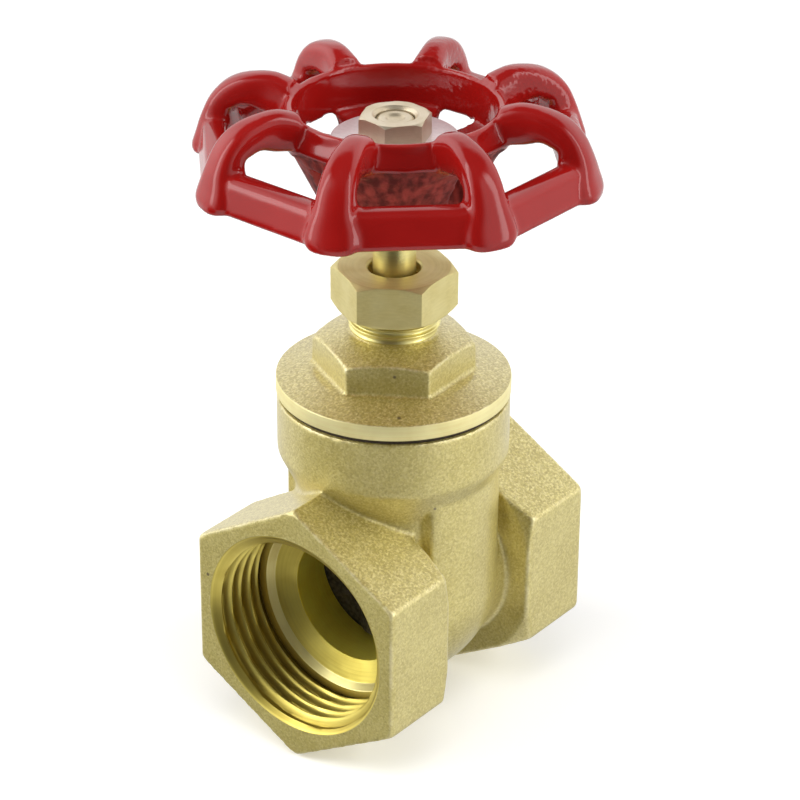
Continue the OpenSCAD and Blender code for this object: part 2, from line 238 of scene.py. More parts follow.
# %% Floor
floor_mesh = bpy.data.meshes.new("floor")
RINGS, STEPS, REACH = 12, 64, 0.9
FLOOR_Z = CAD_BOX[0].z - 0.2 * MM
points = [(STEM_X * MM, 0, FLOOR_Z)]
for i in range(1, RINGS + 1):
    out = REACH * (i / RINGS) ** 1.6
    for k in range(STEPS):
        t = math.tau * k / STEPS
        points.append((out * math.cos(t) + STEM_X * MM, out * math.sin(t), FLOOR_Z))
faces = [(0, 1 + k, 1 + (k + 1) % STEPS) for k in range(STEPS)]
for start in range(1, 1 + (RINGS - 1) * STEPS, STEPS):
    faces += [(start + k, start + STEPS + k, start + STEPS + (k + 1) % STEPS,
               start + (k + 1) % STEPS) for k in range(STEPS)]
floor_mesh.from_pydata(points, [], faces)
floor = placed("floor", floor_mesh)
floor.visible_glossy = False           # polished metal sees the tent's own table level instead
white = bpy.data.materials.new("white_table")
white.use_nodes = True
tree = white.node_tree
tree.nodes.clear()
place = add(tree, "ShaderNodeTexCoord").outputs["Object"]
fade = ramp(tree, vector_calc(tree, "LENGTH", place, result="Value"), 0.18, 0.6)
path = add(tree, "ShaderNodeLightPath")
matte = add(tree, "ShaderNodeBsdfDiffuse", {"Color": (0.9, 0.9, 0.9, 1)})
lift = add(tree, "ShaderNodeEmission", {"Color": (1, 1, 1, 1), "Strength": calc(
    tree, "MULTIPLY", path.outputs["Is Camera Ray"], 0.2)})
seen = add(tree, "ShaderNodeAddShader", {0: matte.outputs[0], 1: lift.outputs[0]})
white.cycles.emission_sampling = "NONE"
clear = add(tree, "ShaderNodeBsdfTransparent")
mixed = add(tree, "ShaderNodeMixShader", {"Fac": fade, 1: seen.outputs[0], 2: clear.outputs[0]})
add(tree, "ShaderNodeOutputMaterial", {"Surface": mixed.outputs[0]})
floor.data.materials.append(white)

# %% [markdown]
# ## Making solids
# Nearly every piece of a valve is turned or hexagonal, so one helper makes a closed
# grid from columns of points round an axis. Sizes are written in millimetres and turned
# to metres once, when the mesh is made.

# %% Helpers for solids
def ends(node):
    """Lowest and highest point of a solid of the frame, in mm."""
    low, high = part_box(node)
    return low.z / MM, high.z / MM


def bar(radius, low, high):
    """Profile of a plain round bar."""
    return [(0, low), (radius, low), (radius, high), (0, high)]


def piece_from(name, points, faces, merge=0.0001):
    """Mesh object from points in mm, with doubles merged and faces turned outwards."""
    import bmesh
    mesh = bpy.data.meshes.new(name)
    mesh.from_pydata((np.asarray(points, float) * MM).tolist(), [], faces)
    form = bmesh.new()
    form.from_mesh(mesh)
    bmesh.ops.remove_doubles(form, verts=form.verts, dist=merge * MM)
    bmesh.ops.recalc_face_normals(form, faces=form.faces)
    form.to_mesh(mesh)
    form.free()
    return placed(name, mesh)


def grid_faces(columns, rows, closed=True):
    """Quads between neighbouring columns. A closed grid also joins its last row to its first."""
    last = rows if closed else rows - 1
    return [(c * rows + r, c * rows + (r + 1) % rows,
             (c + 1) % columns * rows + (r + 1) % rows, (c + 1) % columns * rows + r)
            for c in range(columns) for r in range(last)]


def capped_faces(steps, rows):
    """Quads of a tube of closed sections, rows points each, with a face at both ends."""
    faces = [(c * rows + r, c * rows + (r + 1) % rows, (c + 1) * rows + (r + 1) % rows,
              (c + 1) * rows + r) for c in range(steps) for r in range(rows)]
    return faces + [list(range(rows))[::-1], list(range(steps * rows, (steps + 1) * rows))]


def around(columns, axis, centre):
    """Points for columns of (angle, [(radius, height), ...]) about an axis through centre."""
    points = []
    for angle, column in columns:
        c, s = math.cos(angle), math.sin(angle)
        for radius, height in column:
            if axis == "Z":
                points.append((centre[0] + radius * c, centre[1] + radius * s, height))
            else:
                points.append((height, centre[1] + radius * c, centre[2] + radius * s))
    return points


def lathe(name, profile, axis="Z", centre=(STEM_X, 0, 0), steps=160):
    """Turned solid. The profile is a closed run of (radius, height), or starts and ends on
    the axis."""
    columns = [(math.tau * k / steps, profile) for k in range(steps)]
    on_axis = profile[0][0] == 0 and profile[-1][0] == 0
    return piece_from(name, around(columns, axis, centre),
                      grid_faces(steps, len(profile), closed=not on_axis))


def rounded(corners, steps=4):
    """Closed profile whose corners (radius, height, rounding) are turned into small arcs."""
    out = []
    count = len(corners)
    for i, (r, z, soft) in enumerate(corners):
        here = np.array((r, z), float)
        if soft <= 0:
            out.append((r, z))
            continue
        before = np.array(corners[i - 1][:2], float) - here
        after = np.array(corners[(i + 1) % count][:2], float) - here
        reach_b, reach_a = np.linalg.norm(before), np.linalg.norm(after)
        d = min(soft, 0.48 * reach_b, 0.48 * reach_a)
        start, end = here + before / reach_b * d, here + after / reach_a * d
        for k in range(steps + 1):
            t = k / steps
            out.append(tuple((1 - t) ** 2 * start + 2 * t * (1 - t) * here + t * t * end))
    return out


def settled(piece):
    """Applies the piece's modifiers: its evaluated mesh becomes its own."""
    graph = bpy.context.evaluated_depsgraph_get()
    mesh = bpy.data.meshes.new_from_object(piece.evaluated_get(graph))
    piece.modifiers.clear()
    old = piece.data
    piece.data = mesh
    mesh.name = piece.name
    bpy.data.meshes.remove(old)
    return piece


def smooth(piece, sharp=None):
    """Smooth shading, with edges steeper than sharp degrees kept crisp."""
    piece.data.shade_smooth()
    if sharp:
        piece.data.set_sharp_from_angle(angle=math.radians(sharp))


def triangles(piece):
    piece.data.calc_loop_triangles()
    return len(piece.data.loop_triangles)


# %% [markdown]
# ## Castings
# A sand casting has no sharp inner corner and no perfectly sharp edge. Modelling each
# fillet by hand would take long, so the plain forms are laid over each other, fused by a
# voxel remesh, and relaxed until the seams run out into fillets, as poured metal does.

# %% Helper for castings
def cast(name, forms, voxel, relax, factor=0.5):
    """One skin from overlapping closed forms."""
    points, faces = [], []
    for form in forms:
        start = len(points)
        points += [tuple(v.co / MM) for v in form.data.vertices]
        faces += [[start + v for v in f.vertices] for f in form.data.polygons]
        bpy.data.objects.remove(form)
    skin = piece_from(name, points, faces, merge=0)
    fuse = skin.modifiers.new("fuse", "REMESH")
    fuse.mode, fuse.voxel_size, fuse.use_smooth_shade = "VOXEL", voxel * MM, True
    soften = skin.modifiers.new("soften", "SMOOTH")
    soften.factor, soften.iterations = factor, relax
    settled(skin)
    smooth(skin)
    print(name, "skin:", triangles(skin), "triangles")
    return skin


def machined(skin, cutters, keep="DIFFERENCE"):
    """Cuts the skin with crisp tools, as a lathe does after casting."""
    for tool in cutters:
        cut = skin.modifiers.new("cut", "BOOLEAN")
        cut.operation, cut.solver, cut.object = keep, "MANIFOLD", tool
        settled(skin)
        bpy.data.objects.remove(tool)
    return skin


def rows_of(items, key, width, kind=float):
    """One row of numbers for each vertex or edge of a mesh."""
    run = np.empty(len(items) * width, kind)
    items.foreach_get(key, run)
    return run.reshape(-1, width)


def wear_and_shade_marks(piece, passes=2):
    """Stores how far each point stands proud of its neighbours, as 'edge', and how deep it
    sits, as 'nook'."""
    mesh = piece.data
    n = len(mesh.vertices)
    co, no = rows_of(mesh.vertices, "co", 3), rows_of(mesh.vertices, "normal", 3)
    a, b = rows_of(mesh.edges, "vertices", 2, int).T
    reach = np.maximum(np.linalg.norm(co[a] - co[b], axis=1), 1e-9)
    count = np.maximum(np.bincount(a, minlength=n) + np.bincount(b, minlength=n), 1)
    bend = np.zeros(n)
    for here, there in ((a, b), (b, a)):
        np.add.at(bend, here, ((co[there] - co[here]) * no[here]).sum(1) / reach)
    bend /= count
    for _ in range(passes):
        spread = np.zeros(n)
        np.add.at(spread, a, bend[b])
        np.add.at(spread, b, bend[a])
        bend = 0.5 * bend + 0.5 * spread / count
    for key, value in (("edge", -bend), ("nook_shade", bend)):
        layer = mesh.attributes.new(key, "FLOAT", "POINT")
        layer.data.foreach_set("value", np.clip(value, 0, 1).astype(np.float32))
        print(piece.name, key, "up to", round(float(value.max()), 2))


# %% [markdown]
# ## Handwheel
# An arched-finger handwheel: eight fingers stand on a straight-sided rim, curl inwards
# and land on a ring, which a thin cone of four spokes ties to the hub. Each finger is one
# section swept along its arch, wide and round at the foot and flat-sided at the crown.

# %% Sizes of the handwheel
SEAT_FIT = 0.05                        # gap at joints that stay still
HUB = Vector((STEM_X, 0, 0))
WHEEL_Z, CROWN_Z = ends("handwheel")
HUB_TOP = ends("wheel_plate")[0] - SEAT_FIT
HUB_BORE = 2.45
HUB_R, RIM_R, RIM_H, RIM_W, RING_R = 10.2, 29.9, 5.9, 5.1, 15.6
RIM_Z = WHEEL_Z + 5.2
LAND_TOP, LAND_LOW = RIM_Z + 11.4, RIM_Z + 4.7
WHEEL_TURN = math.radians(20)
FINGERS, SPOKES, SPOKE_SPAN = 8, 4, math.radians(64)
BAR_TURN = WHEEL_TURN + math.pi / FINGERS      # middle of a straight side of the rim
SOFT_CORNER = 1.07                             # how far a corner stands past its flats
print("wheel from", round(WHEEL_Z, 2), "to", round(CROWN_Z, 2), "mm")

# Arch of a finger, from foot to landing: outer point, inner point (radius, height), width
ARCH = [((32.45, 71.15), (25.6, 71.5), 7.2),
        ((32.6, 72.6), (25.5, 72.6), 8.9),
        ((31.9, 74.9), (25.6, 74.6), 8.2),
        ((31.1, 77.5), (25.9, 76.7), 6.4),
        ((29.6, 80.6), (25.9, 78.6), 5.6),
        ((27.3, 83.0), (24.7, 79.2), 5.3),
        ((24.2, 84.4), (23.2, 79.6), 4.9),
        ((19.9, 85.0), (20.9, 78.9), 4.4),
        ((16.4, 84.0), (17.2, 78.4), 5.2)]


# %% Finger
def spline(values, steps):
    """Smooth run through the rows of values, steps points between each pair."""
    v = np.asarray(values, float)
    v = np.vstack([2 * v[0] - v[1], v, 2 * v[-1] - v[-2]])
    out = []
    for i in range(1, len(v) - 2):
        for k in range(steps):
            t = k / steps
            out.append(0.5 * (2 * v[i] + (v[i + 1] - v[i - 1]) * t
                              + (2 * v[i - 1] - 5 * v[i] + 4 * v[i + 1] - v[i + 2]) * t * t
                              + (3 * v[i] - v[i - 1] - 3 * v[i + 1] + v[i + 2]) * t ** 3))
    out.append(v[-2])
    return np.array(out)


def superellipse(count, outer, inner):
    """Unit section: rounder on its outer half, boxier on its inner half."""
    run = []
    for k in range(count):
        t = math.tau * (k + 0.5) / count
        c, s = math.cos(t), math.sin(t)
        power = outer if s > 0 else inner
        run.append((math.copysign(abs(c) ** power, c), math.copysign(abs(s) ** power, s)))
    return np.array(run)


def swept_finger(angle):
    rows = spline([(*o, *i, w) for o, i, w in ARCH], 5)
    section = superellipse(40, 0.72, 0.5)
    c, s = math.cos(angle), math.sin(angle)
    points = []
    for ro, zo, ri, zi, width in rows:
        for across, out in section:
            r = (ro + ri) / 2 + (ro - ri) / 2 * out
            z = (zo + zi) / 2 + (zo - zi) / 2 * out
            t = across * width / 2
            points.append((HUB.x + r * c - t * s, r * s + t * c, z))
    return piece_from("finger", points, capped_faces(len(rows) - 1, len(section)))


# %% Rim, ring and spokes
def eight_sided(name, profile, steps=192):
    """Turned solid whose plan has a straight side between two fingers, and soft corners.
    Profile radii are to the flats."""
    columns, half = [], math.pi / FINGERS
    for k in range(steps):
        angle = math.tau * k / steps
        off = (angle - BAR_TURN + half) % (math.tau / FINGERS) - half
        grow = min(1 / math.cos(off), SOFT_CORNER)
        columns.append((angle, [(r * grow, z) for r, z in profile]))
    return piece_from(name, around(columns, "Z", HUB), grid_faces(steps, len(profile)))


def wedge(name, profile, middle, span, steps=24):
    """Part of a turned solid, span wide about the middle angle."""
    columns = [(middle - span / 2 + span * k / steps, profile) for k in range(steps + 1)]
    return piece_from(name, around(columns, "Z", HUB), capped_faces(steps, len(profile)))


forms = [swept_finger(WHEEL_TURN + math.tau * k / FINGERS) for k in range(FINGERS)]
RIM_IN, RIM_TOP = RIM_R - RIM_W, RIM_Z + RIM_H
forms.append(eight_sided("rim", rounded([
    (RIM_R - 0.5, RIM_Z, 1), (RIM_R, RIM_Z + 0.7, 1), (RIM_R - 0.9, RIM_TOP - 0.7, 1.2),
    (RIM_R - 1.9, RIM_TOP, 1.2), (RIM_IN + 1, RIM_TOP, 1), (RIM_IN + 0.4, RIM_TOP - 0.8, 1),
    (RIM_IN, RIM_Z + 0.8, 1), (RIM_IN + 0.7, RIM_Z, 1)])))
forms.append(lathe("ring", rounded([
    (RING_R - 0.1, LAND_LOW - 0.6, 0.3), (RING_R, LAND_TOP - 0.3, 0.4),
    (RING_R + 0.6, LAND_TOP, 0.3), (RING_R + 1.2, LAND_TOP - 0.3, 0.3),
    (RING_R + 1.3, LAND_LOW + 2, 0.3), (RING_R + 0.8, LAND_LOW, 0.3)])))
WALL = RING_R + 2.0                    # flat of the ring's outer wall, between two fingers
forms.append(eight_sided("ring_wall", rounded([
    (RING_R + 0.5, LAND_TOP - 0.5, 0.2), (WALL - 1.6, LAND_TOP - 0.2, 0.2),
    (WALL - 1.2, LAND_TOP - 0.6, 0.2), (WALL, LAND_LOW + 2.9, 0.2),
    (WALL - 0.5, LAND_LOW + 2.2, 0.3), (RING_R + 0.5, LAND_LOW + 0.8, 0.2)])))
WEB_TOP, WEB_LOW = LAND_LOW - 0.3, HUB_TOP - 1.2
web_profile = [(HUB_R - 4, WHEEL_Z + 0.6), (HUB_R, WHEEL_Z + 0.6), (HUB_R + 1.6, WHEEL_Z + 1.1),
               (WALL - 0.1, LAND_LOW + 2.6), (RING_R - 0.2, WEB_TOP), (HUB_R - 0.5, WEB_LOW),
               (HUB_R - 4, WEB_LOW)]
for k in range(SPOKES):
    middle = WHEEL_TURN + math.radians(180 / FINGERS + 360 / SPOKES * k)
    forms.append(wedge("spoke", web_profile, middle, SPOKE_SPAN))
forms.append(lathe("hub", [(HUB_BORE, WHEEL_Z), (HUB_R - 2, WHEEL_Z), (HUB_R - 1.2, WHEEL_Z + 1),
                           (HUB_R, HUB_TOP - 1), (HUB_R, HUB_TOP), (HUB_BORE, HUB_TOP)]))
wheel = cast("handwheel_casting", forms, voxel=0.38, relax=5)
wear_and_shade_marks(wheel)


# %% [markdown]
# ## Finishes
# Every finish is worked out from a piece's own coordinates, so it stays put when the
# piece turns. Metals take most of their look from roughness and small bumps. The castings
# also get pale worn edges, partly a painted highlight, and painted shade in their hollows,
# from the two values stored with their points.

# %% Helper for finishes
def finish_base(name):
    made = bpy.data.materials.new(name)
    made.use_nodes = True
    tree = made.node_tree
    shader = tree.nodes["Principled BSDF"]
    place = add(tree, "ShaderNodeTexCoord").outputs["Object"]
    return made, tree, shader, place


def noise(tree, place, scale, detail=2, rough=0.5):
    return add(tree, "ShaderNodeTexNoise", {"Vector": place, "Scale": scale, "Detail": detail,
                                            "Roughness": rough}).outputs["Fac"]


def ranged(tree, value, low, high, to_low=0, to_high=1):
    return add(tree, "ShaderNodeMapRange", {"Value": value, "From Min": low, "From Max": high,
                                            "To Min": to_low, "To Max": to_high}).outputs["Result"]


def blend(tree, factor, first, second):
    return add(tree, "ShaderNodeMix", {0: factor, 6: first, 7: second},
               data_type="RGBA").outputs[2]


def bumped(tree, shader, layers):
    """Stacks bump layers of (height, strength, depth in mm) under the shader's normal."""
    normal = None
    for height, strength, depth in layers:
        inputs = {"Height": height, "Strength": strength, "Distance": depth * MM}
        if normal is not None:
            inputs["Normal"] = normal
        normal = add(tree, "ShaderNodeBump", inputs).outputs["Normal"]
    tree.links.new(normal, shader.inputs["Normal"])


def attribute(tree, name):
    return add(tree, "ShaderNodeAttribute", attribute_name=name).outputs["Fac"]


# %% Brass as cast
def cells(tree, place, scale):
    """Random grey per cell, like the facets of blasted metal, and the distance to the
    cell's middle."""
    node = add(tree, "ShaderNodeTexVoronoi", {"Vector": place, "Scale": scale, "Randomness": 1})
    grey = add(tree, "ShaderNodeSeparateColor", {"Color": node.outputs["Color"]}).outputs[0]
    return grey, node.outputs["Distance"]


def cast_brass(name, shade=1.0):
    """Blasted casting: yellow metal full of tiny facets, worn pale on edges and partly given a
    painted highlight there, with painted shade in olive in the corners. The specks are painted
    stronger on faces that look up, as light shows them. A shade below 1 darkens the whole, as
    painted shade."""
    made, tree, shader, place = finish_base(name)
    facet, _ = cells(tree, place, 3300)
    grain = noise(tree, place, 2500, 3, 0.6)
    patch = noise(tree, place, 130, 3)
    edge = ranged(tree, attribute(tree, "edge"), 0.05, 0.19)
    nook_shade = ranged(tree, attribute(tree, "nook_shade"), 0.03, 0.2, 0, 0.6)
    chosen, middle = cells(tree, place, 230)
    pit = calc(tree, "MULTIPLY", ranged(tree, middle, 0.05, 0.09, 1, 0),
               calc(tree, "GREATER_THAN", chosen, 0.88))
    tone = blend(tree, ranged(tree, patch, 0.35, 0.65), (0.635, 0.535, 0.145, 1),
                 (0.715, 0.615, 0.195, 1))
    # painted light: the specks show stronger on faces that look up than on upright faces
    up = xyz(tree, add(tree, "ShaderNodeTexCoord").outputs["Normal"])[2]
    speckle_light_by_facing = ranged(tree, up, 0.1, 0.6, 0.5, 0.9)
    pale, dark = ranged(tree, facet, 0.35, 1, 0, 0.9), ranged(tree, facet, 0.35, 0, 0, 0.6)
    deep = ranged(tree, grain, 0.60, 0.40, 0, 0.6)
    for speck, colour in ((pale, (0.88, 0.79, 0.36, 1)), (dark, (0.36, 0.27, 0.05, 1)),
                          (deep, (0.40, 0.30, 0.055, 1))):
        tone = blend(tree, calc(tree, "MULTIPLY", speck, speckle_light_by_facing), tone, colour)
    # painted shade: the hollows turn a darker olive
    tone = blend(tree, nook_shade, tone, (0.46, 0.35, 0.05, 1))
    # pale worn edges: partly real wear, partly a painted highlight along them
    wear_and_highlight = ranged(tree, noise(tree, place, 340, 3), 0.4, 0.62, 0.15, 1)
    tone = blend(tree, calc(tree, "MULTIPLY", edge, wear_and_highlight), tone,
                 (1.0, 0.90, 0.54, 1))
    tone = blend(tree, pit, tone, (0.17, 0.12, 0.04, 1))
    # painted shade: a shade below 1 makes a darker copy of this brass
    tone = blend(tree, 1 - shade, tone, (0, 0, 0, 1))
    rough = calc(tree, "SUBTRACT", ranged(tree, grain, 0.3, 0.7, 0.54, 0.42),
                 calc(tree, "MULTIPLY", edge, 0.12))
    feed(tree, shader, {"Base Color": tone, "Roughness": rough, "Metallic": 0.72,
                        "Coat Weight": 1.0, "Coat Roughness": 0.35, "Coat IOR": 1.8})
    bumped(tree, shader, [(noise(tree, place, 420), 0.3, 0.12), (grain, 0.9, 0.10),
                          (facet, 0.7, 0.06), (pit, -0.6, 0.15)])
    return made


# %% Brass as turned
def turned_brass(name, axis, tone, rough, grooves=0.2, metallic=0.9, valley_shade=0):
    """Tool marks run round the axis, so they change only along it and away from it.
    valley paints shade, a dark olive, into the bottoms of the pipe threads and onto the chamfer
    just inside the mouth."""
    made, tree, shader, place = finish_base(name)
    x, y, z = xyz(tree, place)
    from_stem = calc(tree, "SUBTRACT", x, STEM_X * MM)
    along, side, other = (x, y, z) if axis == "X" else (z, from_stem, y)
    out = calc(tree, "SQRT", calc(tree, "ADD", calc(tree, "MULTIPLY", side, side),
                                  calc(tree, "MULTIPLY", other, other)))
    marks = noise(tree, add(tree, "ShaderNodeCombineXYZ", {0: along, 1: out}).outputs[0], 3200)
    patch = noise(tree, place, 260, 3)
    colour = blend(tree, ranged(tree, patch, 0.3, 0.7),
                   tone, (tone[0] * 0.9, tone[1] * 0.87, tone[2] * 0.78, 1))
    colour = blend(tree, ranged(tree, marks, 0.35, 0.75, 0, 0.3), colour,
                   tuple(min(1, c * 1.25) for c in tone[:3]) + (1,))
    # painted shade: the thread roots and the mouth's chamfer turn dark olive
    if valley_shade:
        depth = calc(tree, "SUBTRACT", STEM_X * MM,
                     calc(tree, "ABSOLUTE", from_stem))
        inside = calc(tree, "ADD", ranged(tree, depth, 0.0001, 0.0003, 0, 0.6),
                      ranged(tree, depth, 0.0006, 0.001, 0, 0.4))
        deep = calc(tree, "MULTIPLY", ranged(tree, out, 0.0156, 0.0166, 0, valley_shade), inside)
        colour = blend(tree, deep, colour, (0.26, 0.18, 0.015, 1))
    feed(tree, shader, {"Base Color": colour, "Metallic": metallic,
                        "Roughness": ranged(tree, patch, 0.3, 0.7, rough - 0.05, rough + 0.07)})
    bumped(tree, shader, [(marks, grooves, 0.05)])
    return made


# %% Red enamel of the handwheel
def red_coat():
    """Dipped enamel: deep red under a clear gloss, thin on edges where a paler red is painted as a
    highlight, pitted on one side.
    """
    made, tree, shader, place = finish_base("red_coat")
    patch = noise(tree, place, 70)
    edge = ranged(tree, attribute(tree, "edge"), 0.08, 0.26, 0, 0.55)
    tone = blend(tree, ranged(tree, patch, 0.3, 0.7), (0.265, 0.0055, 0.0045, 1),
                 (0.32, 0.008, 0.0065, 1))
    # paler red on edges: partly thinner enamel, partly a painted highlight
    tone = blend(tree, edge, tone, (0.52, 0.075, 0.06, 1))
    feed(tree, shader, {"Base Color": tone, "Roughness": 0.4, "Specular IOR Level": 0.0,
                        "Coat Weight": 1.0, "Coat Roughness": 0.1, "Coat IOR": 1.5})
    coarse = ranged(tree, xyz(tree, place)[0], 0.036, 0.043)
    dimples = calc(tree, "MULTIPLY", noise(tree, place, 1000, 1), coarse)
    bumped(tree, shader, [(noise(tree, place, 230), 0.14, 0.15), (dimples, 0.6, 0.16)])
    tree.links.new(shader.inputs["Normal"].links[0].from_socket, shader.inputs["Coat Normal"])
    return made


def rough_red_coat():
    """Where the enamel ran thin over rough metal, under the cone of spokes."""
    made, tree, shader, place = finish_base("rough_red_coat")
    _, middle = cells(tree, place, 700)
    lumps = noise(tree, place, 420, 4, 0.65)
    runs = noise(tree, vector_calc(tree, "MULTIPLY", place, (1, 1, 0.15)), 900)
    tone = blend(tree, ranged(tree, calc(tree, "ADD", lumps, runs), 0.8, 1.2),
                 (0.10, 0.007, 0.005, 1), (0.31, 0.036, 0.026, 1))
    feed(tree, shader, {"Base Color": tone, "Specular IOR Level": 0.15,
                        "Roughness": ranged(tree, lumps, 0.3, 0.7, 0.65, 0.4)})
    bumped(tree, shader, [(lumps, 0.8, 0.3), (middle, 0.4, 0.1)])
    return made


# the bonnet's brass is the body's brass made darker, as painted shade
CAST_BRASS, SHADED_BONNET_BRASS = cast_brass("cast_brass"), cast_brass("cast_brass_bonnet_painted_darker", 0.93)
TURNED_X = turned_brass("turned_brass_bore", "X", (0.74, 0.62, 0.15, 1), 0.34, 0.1, 0.85, 0.7)
# painted light, in part: the seat bore's brass is a brighter copy of the bore's
TURNED_SEAT = turned_brass("turned_brass_seat_painted_lit", "X", (1.0, 0.86, 0.13, 1), 0.35, 0.35, 0.7)
# painted highlight: the land's pale tone stands in for a bright reflection
LAND = turned_brass("land_painted_highlight", "X", (0.96, 0.84, 0.36, 1), 0.35, 0.3, 0.7)
CONE = turned_brass("turned_brass_cone", "X", (0.68, 0.57, 0.12, 1), 0.4, 0.45, 0.8)
TURNED_Z = turned_brass("turned_brass_stem", "Z", (0.80, 0.72, 0.30, 1), 0.3)
SATIN = turned_brass("satin_brass", "Z", (0.91, 0.81, 0.41, 1), 0.45, 0.3, 0.6)
DRAWN = turned_brass("drawn_brass", "Z", (0.70, 0.615, 0.275, 1), 0.45, 0.2, 0.7)
PALE = turned_brass("pale_brass", "Z", (0.62, 0.535, 0.40, 1), 0.36, 0.3, 0.75)
RED, ROUGH_RED = red_coat(), rough_red_coat()


def plain_finish(name, tone, metallic, rough, speck=0.3):
    """Finish for pieces that hardly show: one tone, varied a little, with a fine grain."""
    made, tree, shader, place = finish_base(name)
    grain = noise(tree, place, 1500, 3)
    darker = tuple(c * (1 - speck) for c in tone[:3]) + (1,)
    colour = blend(tree, ranged(tree, grain, 0.35, 0.65), tone, darker)
    feed(tree, shader, {"Base Color": colour, "Metallic": metallic,
                        "Roughness": ranged(tree, grain, 0.3, 0.7, rough - 0.06, rough + 0.08)})
    bumped(tree, shader, [(grain, 0.3, 0.04)])
    return made


GASKET = plain_finish("gasket_fibre", (0.05, 0.035, 0.02, 1), 0, 0.8)
PACKING = plain_finish("packing", (0.7, 0.69, 0.64, 1), 0, 0.6)
# painted shade, in part: the gate's grey metal is given a very dark tone for the shade deep in the
# bore
GATE_METAL = plain_finish("gate_metal", (0.10, 0.09, 0.075, 1), 0.6, 0.5, 0.6)
PLATE = plain_finish("plate_metal", (0.93, 0.85, 0.86, 1), 0.5, 0.35, 0.1)


def paint(piece, *finishes):
    piece.data.materials.clear()
    for finish in finishes:
        piece.data.materials.append(finish)


def dressed(piece, finish, body, slot, *nodes, sharp=None):
    """Gives a piece its finish and says which body carries it and which solids it stands for."""
    if sharp:
        smooth(piece, sharp)
    paint(piece, finish)
    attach(piece, body)
    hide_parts(*nodes)
    return piece


dressed(wheel, RED, "wheel", "red_coat", "handwheel")
paint(wheel, RED, ROUGH_RED)
rough_faces = 0
for face in wheel.data.polygons:
    x, y, z = face.center / MM - HUB
    outward = face.normal.x * x + face.normal.y * y
    under_cone = 9 < math.hypot(x, y) < WALL + 0.1 and z < LAND_LOW + 2.4
    if under_cone and face.normal.z < 0.15 and outward > 0:
        face.material_index = 1
        rough_faces += 1
print("faces of the cone with rough enamel:", rough_faces)

# %% Finishes of the solids that stay
for node, finish in (("bonnet_gasket", GASKET), ("stem_ring", TURNED_Z),
                     ("packing_rings", PACKING), ("gland_follower", TURNED_Z),
                     ("gate", GATE_METAL)):
    paint(frame["nodes"][node], finish)

# %% [markdown]
# ## Body
# One sand casting: two hexagonal ends, a barrel, a flat-sided well for the gate and a
# round neck that flares into the collar. The outside is cast and left rough, and what
# seals or screws is turned afterwards, so its edges are crisp.

# %% Sizes of the body
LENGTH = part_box("body")[1].x / MM
MID = LENGTH / 2
COLLAR_Z = ends("body")[1]
HEX_AF, HEX_L = 39.5, 15.1
WELL_R, WELL_W, COLLAR_R, ROUND_R = 17.2, 18.0, 18.6, 15.7
BARREL_R, CHAMBER_R, CHAMBER_W, SKIRT_R = 15.4, 13.8, 12.8, 15.6
GATE_T, GATE_FIT, GATE_LEAN = 9, 0.1, math.radians(5)
SEAT_R, SOCKET_LOW = 10.7, 26.5


# %% Hexagon with turned corners
def to_corner(af):
    """Radius to a hexagon's corners from its width across the flats."""
    return af / 2 / math.cos(math.pi / 6)


def hex_radius(angle, af, corner_angle):
    off = (angle - corner_angle) % (math.pi / 3) - math.pi / 6
    return af / 2 / math.cos(off)


def turned_hexagon(name, af, turning, axis, centre, corner_angle, steps=144, inner=None):
    """Hexagon bar turned to a profile. turning lists (height, radius) from one end to the
    other. Where the turned radius is the smaller one it wins, and its edge is worked out
    exactly."""
    columns = []
    for k in range(steps):
        angle = math.tau * k / steps + corner_angle
        flat = hex_radius(angle, af, corner_angle)
        column = []
        for i, (z, r) in enumerate(turning):
            if i:
                z0, r0 = turning[i - 1]
                if (r0 - flat) * (r - flat) < 0:
                    t = (flat - r0) / (r - r0)
                    column.append((flat, z0 + (z - z0) * t))
                else:
                    column.append((min(flat, (r0 + r) / 2), (z0 + z) / 2))
            column.append((min(flat, r), z))
        if inner is None:
            column = [(0, turning[0][0])] + column + [(0, turning[-1][0])]
        else:
            column = column + [(r, z) for z, r in inner]
        columns.append((angle, column))
    return piece_from(name, around(columns, axis, centre),
                      grid_faces(steps, len(columns[0][1]), closed=inner is not None))


def end_hexagon(mirrored):
    corner = to_corner(HEX_AF)
    turning = [(0, corner - 0.4), (0.5, corner + 0.01), (HEX_L - 1.2, corner + 0.01),
               (HEX_L, HEX_AF / 2 + 0.4)]
    if mirrored:
        turning = [(LENGTH - x, r) for x, r in turning]
    return turned_hexagon("end", HEX_AF, turning, "X", (0, 0, 0), math.pi / 2)


def well():
    """Slab with round sides: each slice along the flow is a U, narrower away from the middle."""
    slices, around_bottom = 14, 40
    points = []
    for i in range(slices + 1):
        x = -WELL_W / 2 + WELL_W * i / slices
        r = math.sqrt(WELL_R ** 2 - x * x)
        points.append((MID + x, r, COLLAR_Z - 2))
        for k in range(around_bottom + 1):
            t = math.pi * k / around_bottom
            points.append((MID + x, r * math.cos(t), -r * math.sin(t)))
        points.append((MID + x, -r, COLLAR_Z - 2))
    return piece_from("well", points, capped_faces(slices, around_bottom + 3))


forms = [end_hexagon(False), end_hexagon(True),
         lathe("barrel", bar(BARREL_R, HEX_L / 2, LENGTH - HEX_L / 2), "X", (0, 0, 0)),
         well(),
         lathe("neck", [(0, 0), (ROUND_R, 0), (ROUND_R, COLLAR_Z - 15.3),
                        (COLLAR_R, COLLAR_Z - 9.4), (COLLAR_R, COLLAR_Z), (0, COLLAR_Z)])]
casting = cast("body_casting", forms, voxel=0.38, relax=6)


